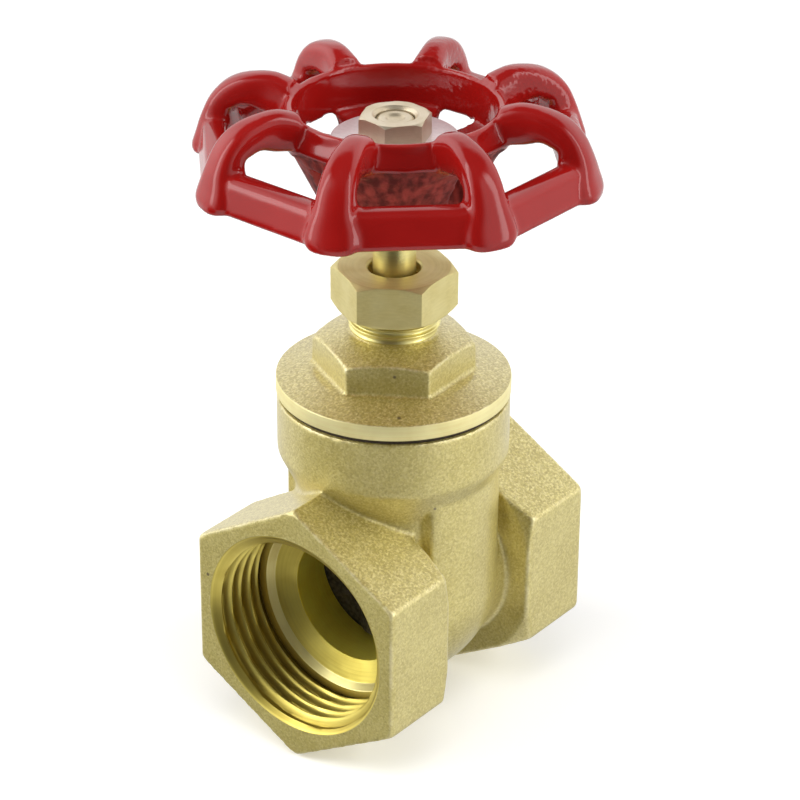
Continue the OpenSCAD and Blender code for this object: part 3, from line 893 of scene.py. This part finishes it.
# %% Turned and bored faces of the body
def bore_tool(mirrored):
    """What the boring bar takes out of one end, a little more than the turned faces need."""
    profile = [(0, -1), (18.35, -1), (17.0, 0.35), (17.0, 12.2), (12.9, 15.2),
               (12.9, MID + 0.5), (0, MID + 0.5)]
    if mirrored:
        profile = [(r, LENGTH - x) for r, x in profile]
    return lathe("tool", profile, "X", (0, 0, 0))


def chamber_tool():
    """The gate's chamber: a round-bottomed slot that opens into the bonnet's screwed socket."""
    steps, side, top = 48, CHAMBER_R, SOCKET_LOW + 0.5
    outline = [(side * math.cos(math.pi * k / steps), -side * math.sin(math.pi * k / steps))
               for k in range(steps + 1)] + [(-side, top), (side, top)]
    points = [(x, y, z) for x in (MID - CHAMBER_W / 2, MID + CHAMBER_W / 2) for y, z in outline]
    return piece_from("tool", points, capped_faces(1, len(outline)))


socket = lathe("tool", bar(SKIRT_R + SEAT_FIT, SOCKET_LOW, COLLAR_Z + 1))
machined(casting, [bore_tool(False), bore_tool(True), chamber_tool(), socket])
smooth(casting, 38)
wear_and_shade_marks(casting)
dressed(casting, CAST_BRASS, "housing", "cast_brass", "body")
print("body:", triangles(casting), "triangles")

# %% [markdown]
# ## Pipe threads
# A thread is a rule: the radius rises and falls once per pitch, shifted by one pitch per
# turn. So a flat grid is wrapped into a sleeve in Geometry Nodes, and the rule sets each
# point's radius. The same tree cuts the pipe threads and the neck's thread.

# %% Thread tree
def thread_tree():
    tree = bpy.data.node_groups.new("screw_thread", "GeometryNodeTree")
    sockets = {}
    for name, kind, value in (
            ("Around", "Int", 144), ("Rows", "Int", 64), ("Length", "Float", 0.0116),
            ("Pitch", "Float", 0.00231), ("Root radius", "Float", 0.0168),
            ("Height", "Float", 0.0014), ("Inside", "Float", -1.0),
            ("Mouth radius", "Float", 0.0173), ("Back radius", "Float", 0.0178),
            ("Run out", "Float", 0.002), ("Hand", "Float", 1.0), ("Start", "Float", 0.16),
            ("Material", "Material", None)):
        socket = tree.interface.new_socket(name, in_out="INPUT", socket_type=f"NodeSocket{kind}")
        if value is not None:
            socket.default_value = value
        sockets[name] = socket.identifier
    tree.interface.new_socket("Geometry", in_out="OUTPUT", socket_type="NodeSocketGeometry")
    given = tree.nodes.new("NodeGroupInput").outputs

    def m(operation, *values, clamp=False):
        return calc(tree, operation, *values, clamp=clamp)

    grid = add(tree, "GeometryNodeMeshGrid", {"Size X": 1.0, "Size Y": 1.0,
                                              "Vertices X": m("ADD", given["Around"], 1),
                                              "Vertices Y": m("ADD", given["Rows"], 4)})
    at = xyz(tree, add(tree, "GeometryNodeInputPosition").outputs[0])
    turn = m("ADD", at[0], 0.5)
    row = m("MULTIPLY", m("ADD", at[1], 0.5), m("ADD", given["Rows"], 3))
    front = m("LESS_THAN", row, m("ADD", given["Rows"], 1.5))
    along = m("MULTIPLY", m("MULTIPLY", m("MINIMUM", m("DIVIDE", row, given["Rows"]), 1), front),
              given["Length"])
    phase = m("SUBTRACT", m("DIVIDE", along, given["Pitch"]), m("MULTIPLY", turn, given["Hand"]))
    phase = m("ADD", phase, given["Start"])
    wave = m("SUBTRACT", 1, m("ABSOLUTE", m("SUBTRACT", m("MULTIPLY", m("FRACT", phase), 2), 1)))
    wave = ramp(tree, wave, 0.3, 0.95)
    fade = m("DIVIDE", m("SUBTRACT", given["Length"], along), given["Run out"], clamp=True)
    depth = m("MULTIPLY", given["Height"], given["Inside"])
    rise = m("MULTIPLY", depth, m("MULTIPLY", wave, fade))
    radius = m("MULTIPLY", m("ADD", given["Root radius"], rise), given["Inside"])
    mouth = m("MULTIPLY_ADD", along, 1.3, m("MULTIPLY", given["Mouth radius"], given["Inside"]))
    radius = m("MULTIPLY", m("MINIMUM", radius, mouth), given["Inside"])
    on_back = m("MULTIPLY", m("GREATER_THAN", row, m("ADD", given["Rows"], 0.5)),
                m("LESS_THAN", row, m("ADD", given["Rows"], 2.5)))
    radius = lerp(tree, on_back, radius, given["Back radius"])
    angle = m("MULTIPLY", turn, math.tau)
    side, up = (m("MULTIPLY", radius, m(way, angle)) for way in ("COSINE", "SINE"))
    spot = add(tree, "ShaderNodeCombineXYZ", {0: along, 1: side, 2: up})
    wrapped = add(tree, "GeometryNodeSetPosition", {"Geometry": grid.outputs["Mesh"],
                                                    "Position": spot.outputs[0]})
    sewn = add(tree, "GeometryNodeMergeByDistance", {"Geometry": wrapped.outputs[0],
                                                     "Distance": 1e-7})
    real = add(tree, "GeometryNodeRealizeInstances", {"Geometry": sewn.outputs[0]})
    painted = add(tree, "GeometryNodeSetMaterial", {"Geometry": real.outputs[0],
                                                    "Material": given["Material"]})
    out = tree.nodes.new("NodeGroupOutput")
    tree.links.new(painted.outputs[0], out.inputs[0])
    return tree, sockets


THREAD, THREAD_INPUT = thread_tree()


def screw_thread(name, place, finish, **sizes):
    """A threaded sleeve from the tree, put where it belongs by place(points) in mm."""
    made = placed(name, bpy.data.meshes.new(name))
    rule = made.modifiers.new("thread", "NODES")
    rule.node_group = THREAD
    for key, value in sizes.items():
        rule[THREAD_INPUT[key.replace("_", " ")]] = value
    rule[THREAD_INPUT["Material"]] = finish
    settled(made)
    points = np.array([v.co for v in made.data.vertices]) / MM
    faces = [list(f.vertices) for f in made.data.polygons]
    bpy.data.objects.remove(made)
    made = piece_from(name, place(points), faces)
    smooth(made, 50)
    print(name, triangles(made), "triangles")
    return made


# %% Threads of the two ends
def at_inlet(points):
    return points


def at_outlet(points):
    """Turned end for end, so the thread still runs the same way into its mouth."""
    return points * (-1, -1, 1) + (LENGTH, 0, 0)


for name, place in (("inlet_thread", at_inlet), ("outlet_thread", at_outlet)):
    thread = screw_thread(name, place, TURNED_X)
    dressed(thread, TURNED_X, "housing", "machined_brass", "body")


# %% Seats
# Where the cone ends along the flow, and the inner and outer radius of the land with the painted
# highlight
CONE_END, LAND_IN, LAND_OUT = 14.08, 14.2, 15.2


def seat(name, mirrored, steps=160):
    """Land, cone and seat bore of one end. The seat's face leans with the gate."""
    lean, gap = math.tan(GATE_LEAN), GATE_T / 2 + GATE_FIT / math.cos(GATE_LEAN)
    turned = rounded([(16.4, 11.35, 0), (15.15, 11.6, 0.1), (14.2, 12.7, 0.1),
                      (SEAT_R, 14.1, 0.12), (SEAT_R, 21, 0)])
    columns = []
    for k in range(steps):
        angle = math.tau * k / steps
        column = list(turned)
        for r, back in ((SEAT_R, 0.15), (10.9, 0), (12.7, 0)):
            column.append((r, MID - gap - r * math.sin(angle) * lean - back))
        column += [(12.95, MID - 7.5), (13.2, 15), (16.0, 13), (17.2, 12.3)]
        if mirrored:
            column = [(r, LENGTH - x) for r, x in column]
        columns.append((angle, column))
    made = piece_from(name, around(columns, "X", (0, 0, 0)), grid_faces(steps, len(column)))
    smooth(made, 35)
    return made


for name, mirrored in (("inlet_seat", False), ("outlet_seat", True)):
    ring = dressed(seat(name, mirrored), TURNED_SEAT, "housing", "machined_brass", "body")
    paint(ring, TURNED_SEAT, LAND, CONE, TURNED_X)
    for face in ring.data.polygons:
        x, y, z = face.center / MM
        x = LENGTH - x if mirrored else x
        if x < CONE_END:
            out = math.hypot(y, z)
            face.material_index = 3 if out > LAND_OUT else 1 if out > LAND_IN else 2

# %% [markdown]
# ## Bonnet
# The bonnet screws into the body with the hexagon and carries the packing. Its flange
# has been turned to size, which leaves a bright crisp band under the cast slope.

# %% Bonnet casting
FLANGE_Z = ends("bonnet_gasket")[1]
FLANGE_R, FLANGE_T, BONNET_AF = 18.7, 2.3, 22.7
FLANGE_TOP = FLANGE_Z + FLANGE_T
HEX_TOP = FLANGE_TOP + 6.1
NECK_R, NECK_TOP, TURN = 7.4, HEX_TOP + 9.5, math.radians(2.6)
corner = to_corner(BONNET_AF)
forms = [lathe("flange", [(0, FLANGE_Z), (FLANGE_R + 1, FLANGE_Z),
                          (FLANGE_R + 1, FLANGE_TOP - 0.25), (corner + 0.2, FLANGE_TOP + 1.4),
                          (0, FLANGE_TOP + 1.4)]),
         turned_hexagon("hexagon", BONNET_AF,
                        [(FLANGE_Z + 1, corner + 0.01), (HEX_TOP - 0.6, corner + 0.01),
                         (HEX_TOP, corner - 0.7), (HEX_TOP + 1.6, NECK_R + 0.4)],
                        "Z", (MID, 0, 0), TURN),
         lathe("neck", bar(NECK_R - 0.7, HEX_TOP, NECK_TOP))]
bonnet = cast("bonnet_casting", forms, voxel=0.3, relax=5)
RUN_FIT = 0.06                         # gap where one piece turns in another
machined(bonnet, [lathe("tool", bar(FLANGE_R - RUN_FIT, FLANGE_Z, HEX_TOP + 30))], "INTERSECT")
SKIRT_LOW, SKIRT_BORE, DOME_Z, RING_LOW, THRUST_TOP = SOCKET_LOW, 13.6, 35.1, 39.2, 42.06
STEM_R, THRUST_R, THRUST_T, RECESS_R, PACKING_R = 3.4, 5.6, 1.6, 7.2, 5.6
STEM_HOLE, PACKING_Z = STEM_R + RUN_FIT, THRUST_TOP + 1.56
inside = lathe("tool", [(0, 20), (SKIRT_BORE, 20), (SKIRT_BORE, DOME_Z), (RECESS_R, RING_LOW),
                        (RECESS_R, THRUST_TOP + RUN_FIT), (STEM_HOLE, THRUST_TOP + RUN_FIT),
                        (STEM_HOLE, PACKING_Z), (PACKING_R, PACKING_Z),
                        (PACKING_R, NECK_TOP + 5), (0, NECK_TOP + 5)], steps=96)
machined(bonnet, [inside])
smooth(bonnet, 38)
wear_and_shade_marks(bonnet)
dressed(bonnet, SHADED_BONNET_BRASS, "housing", "cast_brass", "bonnet")

# %% Turned rim of the flange
rim_band = lathe("flange_rim", rounded([
    (FLANGE_R - 1.2, FLANGE_Z - 0.2, 0), (FLANGE_R, FLANGE_Z - 0.2, 0.15),
    (FLANGE_R, FLANGE_TOP - 0.03, 0.15), (FLANGE_R - 0.25, FLANGE_TOP, 0.05),
    (FLANGE_R - 1.2, FLANGE_TOP - 0.5, 0)]), steps=256)
dressed(rim_band, SATIN, "housing", "machined_brass", "bonnet", sharp=50)

# %% Skirt of the bonnet
SKIRT_OUT = SKIRT_R - SEAT_FIT
skirt = lathe("bonnet_skirt", [(SKIRT_BORE, SKIRT_LOW + 0.5), (SKIRT_BORE + 0.5, SKIRT_LOW),
                               (SKIRT_R - 0.6, SKIRT_LOW), (SKIRT_OUT, SKIRT_LOW + 0.6),
                               (SKIRT_OUT, FLANGE_Z + 0.3), (SKIRT_BORE, FLANGE_Z + 0.3)],
              steps=96)
dressed(skirt, TURNED_Z, "housing", "machined_brass", "bonnet", sharp=40)

# %% Neck thread
def on_neck(points):
    """From along X to up Z, starting at the neck's top and running down."""
    return np.stack([points[:, 1] + MID, points[:, 2], NECK_TOP - points[:, 0]], 1)


neck_thread = screw_thread("neck_thread", on_neck, TURNED_Z, Length=7.7 * MM,
                           Pitch=1.25 * MM, Root_radius=6.85 * MM, Height=0.5 * MM,
                           Inside=1.0, Mouth_radius=6.6 * MM, Back_radius=5.62 * MM,
                           Rows=80, Run_out=1.0 * MM)
dressed(neck_thread, TURNED_Z, "housing", "machined_brass", "bonnet")

# %% [markdown]
# ## Nuts and stem
# Nuts are cut from drawn hexagon bar and their corners turned back, which leaves a curved
# edge where the turned cone meets each flat. The columns of points meet that edge exactly,
# so a small bevel can follow it.

# %% Packing nut
def bevelled(piece, width, segments, angle=30):
    """Rounds the edges steeper than the angle in degrees."""
    edge = piece.modifiers.new("edge", "BEVEL")
    edge.width, edge.segments, edge.angle_limit = width * MM, segments, math.radians(angle)
    settled(piece)
    smooth(piece, 40)


def hexagon_nut(name, af, low, high, low_bite, high_bite, bore, turn, bevel):
    """Nut from low to high. Each bite is the share of the corners that is turned away."""
    corner = to_corner(af)
    bite = corner - af / 2
    turning = [(low, corner - low_bite * bite), (low + low_bite * bite * 0.6, corner + 0.001),
               (high - high_bite * bite * 0.6, corner + 0.001), (high, corner - high_bite * bite)]
    made = turned_hexagon(name, af, turning, "Z", (STEM_X, 0, 0), turn, inner=bore)
    bevelled(made, bevel, 3, 25)
    return made


NUT_Z, NUT_TOP = ends("packing_nut")
packing_nut = hexagon_nut("packing_nut_turned", 17.4, NUT_Z, NUT_TOP, 0.9, 0.9,
                          [(NUT_TOP, 4.5), (NUT_TOP - 0.35, 4.15), (NUT_TOP - 2.2, 4.15),
                           (NUT_TOP - 2.2, 7.45), (NUT_Z + 0.4, 7.45), (NUT_Z, 7.9)],
                          TURN, bevel=0.12)
dressed(packing_nut, DRAWN, "housing", "machined_brass", "packing_nut")

# %% Stem
SCREW_Z, TIP_Z = ends("stem")
THRUST_Z = THRUST_TOP - THRUST_T
SCREW_R = 3.8
rod = lathe("stem_rod", rounded([
    (0, SCREW_Z, 0), (SCREW_R - 0.5, SCREW_Z, 0), (SCREW_R, SCREW_Z + 0.5, 0),
    (SCREW_R, THRUST_Z, 0), (THRUST_R, THRUST_Z, 0.1), (THRUST_R, THRUST_Z + THRUST_T, 0.1),
    (STEM_R, THRUST_Z + THRUST_T, 0), (STEM_R, WHEEL_Z, 0.1), (0, WHEEL_Z, 0)]))
dressed(rod, TURNED_Z, "wheel", "machined_brass", "stem", sharp=35)
half = HUB_BORE - SEAT_FIT
corners = ((-half, -half), (half, -half), (half, half), (-half, half))
square = piece_from("stem_square",
                    [(MID + x, y, z) for z in (WHEEL_Z - 0.2, HUB_TOP) for x, y in corners],
                    capped_faces(1, len(corners)))
bevelled(square, 0.15, 2)
dressed(square, TURNED_Z, "wheel", "machined_brass", "stem")

# %% Tip of the stem and wheel nut
TIP_NUT_Z, TIP_NUT_TOP = ends("wheel_nut")
TIP_R, NUT_BORE = 2.95, 3.05
tip = lathe("stem_tip", rounded([(0, HUB_TOP, 0), (TIP_R, HUB_TOP, 0), (TIP_R, TIP_Z - 0.35, 0.1),
                                 (2.5, TIP_Z, 0.15), (1.6, TIP_Z, 0.2), (1.1, TIP_Z - 0.35, 0.2),
                                 (0, TIP_Z - 0.4, 0)]), steps=96)
dressed(tip, PALE, "wheel", "machined_brass", "stem", sharp=45)
wheel_nut = hexagon_nut("wheel_nut_turned", 10.0, TIP_NUT_Z, TIP_NUT_TOP, 0.3, 0.8,
                        [(TIP_NUT_TOP, NUT_BORE + 0.5), (TIP_NUT_TOP - 0.5, NUT_BORE),
                         (TIP_NUT_Z + 0.3, NUT_BORE), (TIP_NUT_Z, NUT_BORE + 0.35)],
                        math.radians(22), bevel=0.1)
dressed(wheel_nut, PALE, "wheel", "machined_brass", "wheel_nut")

# %% Plate under the nut
PLATE_R, PLATE_Z, PLATE_T = 9.9, HUB_TOP + SEAT_FIT, 0.6
plate = lathe("wheel_plate_pressed", rounded([
    (NUT_BORE, PLATE_Z, 0.05), (PLATE_R, PLATE_Z, 0.15), (PLATE_R, PLATE_Z + PLATE_T, 0.2),
    (NUT_BORE, PLATE_Z + PLATE_T, 0.05)]))
dressed(plate, PLATE, "wheel", "plate_metal", "wheel_plate", sharp=40)

# %% [markdown]
# ## View settings
# Standard view keeps colours as they are written.

# %% Finish
bpy.context.scene.view_settings.view_transform = "Standard"
